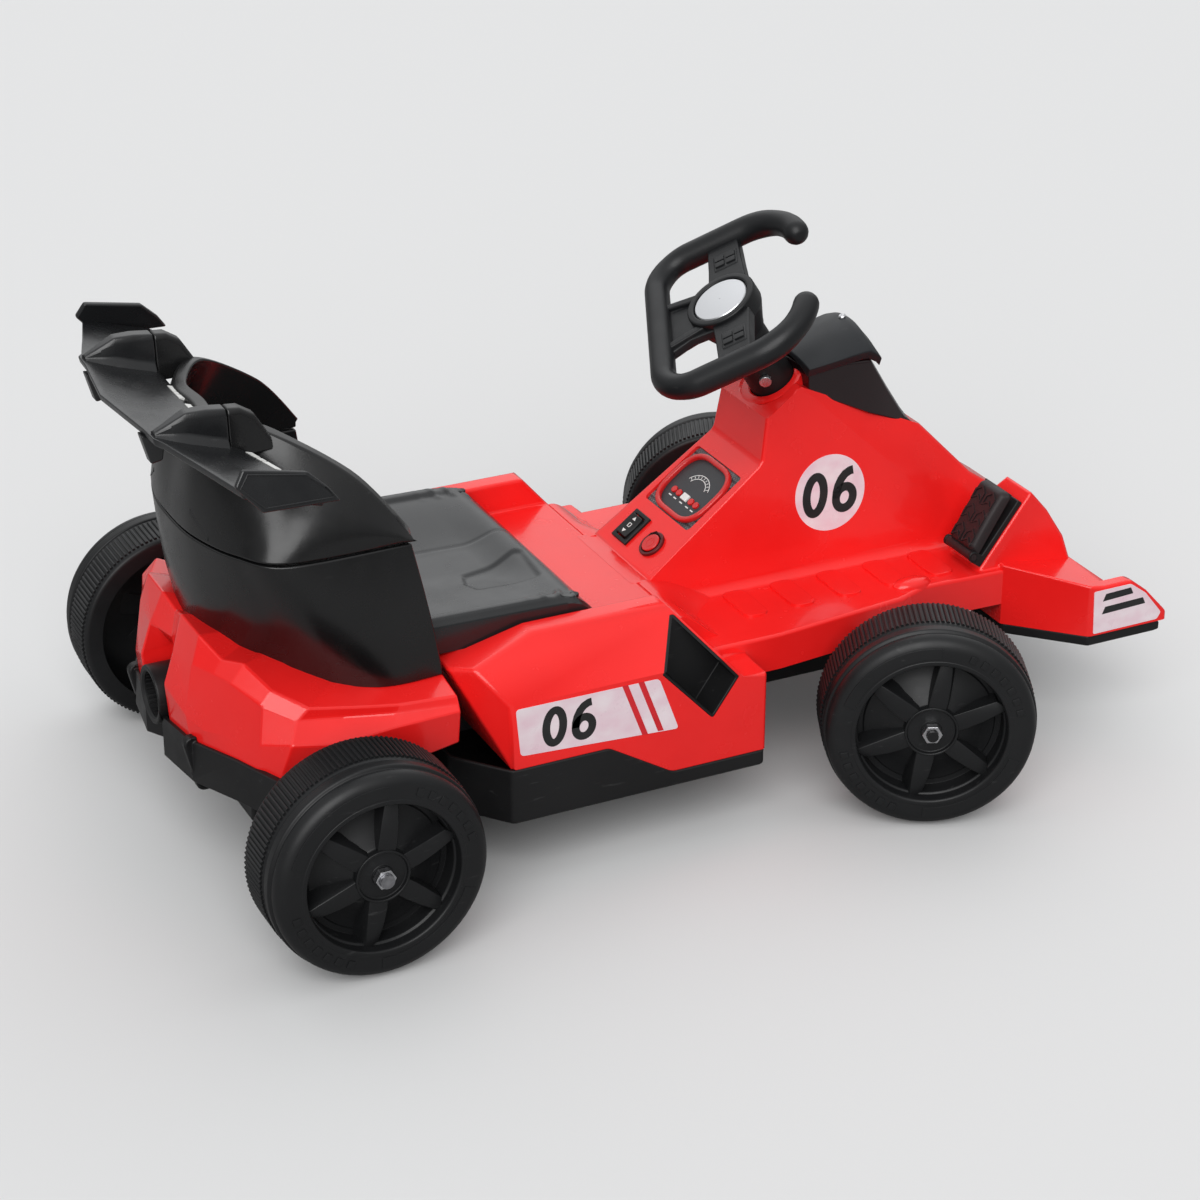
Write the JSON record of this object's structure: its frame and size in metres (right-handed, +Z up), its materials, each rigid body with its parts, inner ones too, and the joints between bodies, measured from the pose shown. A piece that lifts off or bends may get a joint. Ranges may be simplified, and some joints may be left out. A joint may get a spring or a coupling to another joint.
{
  "type": "electric ride on car",
  "caption": "Low open-wheel kart for a small child to sit in, with steered front wheels, motor-driven rear wheels, bucket seat, dash, pedal and a rear wing.",
  "frame": {"origin": "on the ground under the middle of the kart's bounding box", "axes": "+X forward along the kart, +Y to the driver's left, +Z up"},
  "size_m": [0.929, 0.6084, 0.467],
  "materials": {
    "red_plastic": "moulded, glossy",
    "black_plastic": "moulded, satin",
    "seat_black": "moulded, satin with a fine grain",
    "wheel_black": "hard blow-moulded plastic, satin",
    "zinc_steel": "zinc plated",
    "plain_steel": "drawn bar",
    "silver_disc": "satin foil, bare",
    "panel_grey": "satin print film",
    "button_red": "glossy",
    "button_white": "glossy",
    "gear_white": "bare nylon",
    "case_grey": "matt case"
  },
  "bodies": {
    "chassis": {"battery": "case_grey", "body_shell": "red_plastic", "chassis_pan": "black_plastic", "column_bracket": "black_plastic", "control_box": "case_grey", "duct_insert_left": "black_plastic", "duct_insert_right": "black_plastic", "exhaust_outlet": "black_plastic", "front_axle_beam": "plain_steel", "front_hood": "black_plastic", "front_undertray": "black_plastic", "gearbox_left": "case_grey", "gearbox_right": "case_grey", "instrument_panel": "panel_grey", "instrument_ring": "red_plastic", "kingpins": "zinc_steel", "motor_left": "plain_steel", "motor_right": "plain_steel", "pedal_base": "black_plastic", "power_bezel": "black_plastic", "rear_axle": "plain_steel", "rear_axle_nuts": "zinc_steel", "rear_bumper": "black_plastic", "rear_fairing": "red_plastic", "rear_wing": "black_plastic", "rocker_bezel": "black_plastic", "seat_back_base": "seat_black", "seat_back_cowl": "seat_black", "seat_pan": "seat_black", "seat_screws": "zinc_steel"},
    "steering": {"steering_wheel": "black_plastic", "steering_badge": "silver_disc", "steering_column": "plain_steel", "column_sleeve": "black_plastic", "column_bolt": "zinc_steel"},
    "wheel_button_right": {"wheel_button_right": "black_plastic"},
    "wheel_button_left": {"wheel_button_left": "black_plastic"},
    "knuckle_right": {"knuckle_right": "plain_steel", "front_axle_nut_right": "zinc_steel"},
    "knuckle_left": {"knuckle_left": "plain_steel", "front_axle_nut_left": "zinc_steel"},
    "tie_rod": {"tie_rod": "plain_steel"},
    "front_wheel_right": {"wheel_inner_front_right": "wheel_black", "wheel_outer_front_right": "wheel_black"},
    "front_wheel_left": {"wheel_inner_front_left": "wheel_black", "wheel_outer_front_left": "wheel_black"},
    "rear_wheel_right": {"wheel_inner_rear_right": "wheel_black", "wheel_outer_rear_right": "wheel_black", "drive_gear_right": "gear_white"},
    "rear_wheel_left": {"wheel_inner_rear_left": "wheel_black", "wheel_outer_rear_left": "wheel_black", "drive_gear_left": "gear_white"},
    "pedal": {"accelerator_pedal": "black_plastic"},
    "rocker": {"rocker_switch": "black_plastic"},
    "power_button": {"power_button": "button_red"},
    "dash_button_far_left": {"dash_button_far_left": "button_red"},
    "dash_button_left": {"dash_button_left": "button_red"},
    "dash_button_middle": {"dash_button_middle": "button_white"},
    "dash_button_right": {"dash_button_right": "button_red"},
    "dash_button_far_right": {"dash_button_far_right": "button_red"}
  },
  "joints": [
    {"name": "steer_right", "type": "hinge", "parent": "chassis", "child": "knuckle_right", "pos_m": [0.2005, -0.19, 0.095], "axis": [0, 0, 1], "range_deg": [-3.5, 52.5]},
    {"name": "steer_left", "type": "hinge", "parent": "chassis", "child": "knuckle_left", "pos_m": [0.2005, 0.19, 0.095], "axis": [0, 0, 1], "range_deg": [-3.55, 52.55]},
    {"name": "steering_turn", "type": "hinge", "parent": "chassis", "child": "steering", "pos_m": [0.0971, 0, 0.4106], "axis": [-0.5402, 0, 0.8415], "range_deg": [-4.05, 60.05]},
    {"name": "tie_rod_pivot", "type": "hinge", "parent": "knuckle_right", "child": "tie_rod", "pos_m": [0.1641, -0.17341, 0.1193], "axis": [0, 0, 1], "range_deg": [-52.55, 3.55]},
    {"name": "front_wheel_right_spin", "type": "hinge", "parent": "knuckle_right", "child": "front_wheel_right", "pos_m": [0.2005, -0.19, 0.095], "axis": [0.4147, 0.91, 0], "continuous": true},
    {"name": "front_wheel_left_spin", "type": "hinge", "parent": "knuckle_left", "child": "front_wheel_left", "pos_m": [0.2005, 0.19, 0.095], "axis": [0.4147, 0.91, 0], "continuous": true},
    {"name": "rear_wheel_right_spin", "type": "hinge", "parent": "chassis", "child": "rear_wheel_right", "pos_m": [-0.3505, -0.248, 0.095], "axis": [0, 1, 0], "continuous": true},
    {"name": "rear_wheel_left_spin", "type": "hinge", "parent": "chassis", "child": "rear_wheel_left", "pos_m": [-0.3505, 0.248, 0.095], "axis": [0, 1, 0], "continuous": true},
    {"name": "pedal_press", "type": "hinge", "parent": "chassis", "child": "pedal", "pos_m": [0.29443, -0.1, 0.17498], "axis": [0, 1, 0], "range_deg": [0, 5], "stiffness_Nm_per_rad": 12, "springref_deg": -1.72},
    {"name": "rocker_tip", "type": "hinge", "parent": "chassis", "child": "rocker", "pos_m": [0.01873, 0.0205, 0.201], "axis": [0, 1, 0], "range_deg": [-6, 6]},
    {"name": "power_button_press", "type": "slide", "parent": "chassis", "child": "power_button", "axis": [0.6039, 0, -0.7971], "range_m": [0, 0.0015], "stiffness_N_per_m": 800, "springref_m": -0.001},
    {"name": "wheel_button_right_press", "type": "slide", "parent": "steering", "child": "wheel_button_right", "axis": [0.5402, 0, -0.8415], "range_m": [0, 0.0009], "stiffness_N_per_m": 800, "springref_m": -0.001},
    {"name": "wheel_button_left_press", "type": "slide", "parent": "steering", "child": "wheel_button_left", "axis": [0.5402, 0, -0.8415], "range_m": [0, 0.0009], "stiffness_N_per_m": 800, "springref_m": -0.001},
    {"name": "dash_button_far_left_press", "type": "slide", "parent": "chassis", "child": "dash_button_far_left", "axis": [0.6039, 0, -0.7971], "range_m": [0, 0.001], "stiffness_N_per_m": 800, "springref_m": -0.001},
    {"name": "dash_button_left_press", "type": "slide", "parent": "chassis", "child": "dash_button_left", "axis": [0.6039, 0, -0.7971], "range_m": [0, 0.001], "stiffness_N_per_m": 800, "springref_m": -0.001},
    {"name": "dash_button_middle_press", "type": "slide", "parent": "chassis", "child": "dash_button_middle", "axis": [0.6039, 0, -0.7971], "range_m": [0, 0.001], "stiffness_N_per_m": 800, "springref_m": -0.001},
    {"name": "dash_button_right_press", "type": "slide", "parent": "chassis", "child": "dash_button_right", "axis": [0.6039, 0, -0.7971], "range_m": [0, 0.001], "stiffness_N_per_m": 800, "springref_m": -0.001},
    {"name": "dash_button_far_right_press", "type": "slide", "parent": "chassis", "child": "dash_button_far_right", "axis": [0.6039, 0, -0.7971], "range_m": [0, 0.001], "stiffness_N_per_m": 800, "springref_m": -0.001}
  ],
  "couplings": [
    {"joint": "steer_left", "follows": "steer_right", "ratio": 1},
    {"joint": "steering_turn", "follows": "steer_right", "ratio": 1.1429},
    {"joint": "tie_rod_pivot", "follows": "steer_right", "ratio": -1}
  ]
}
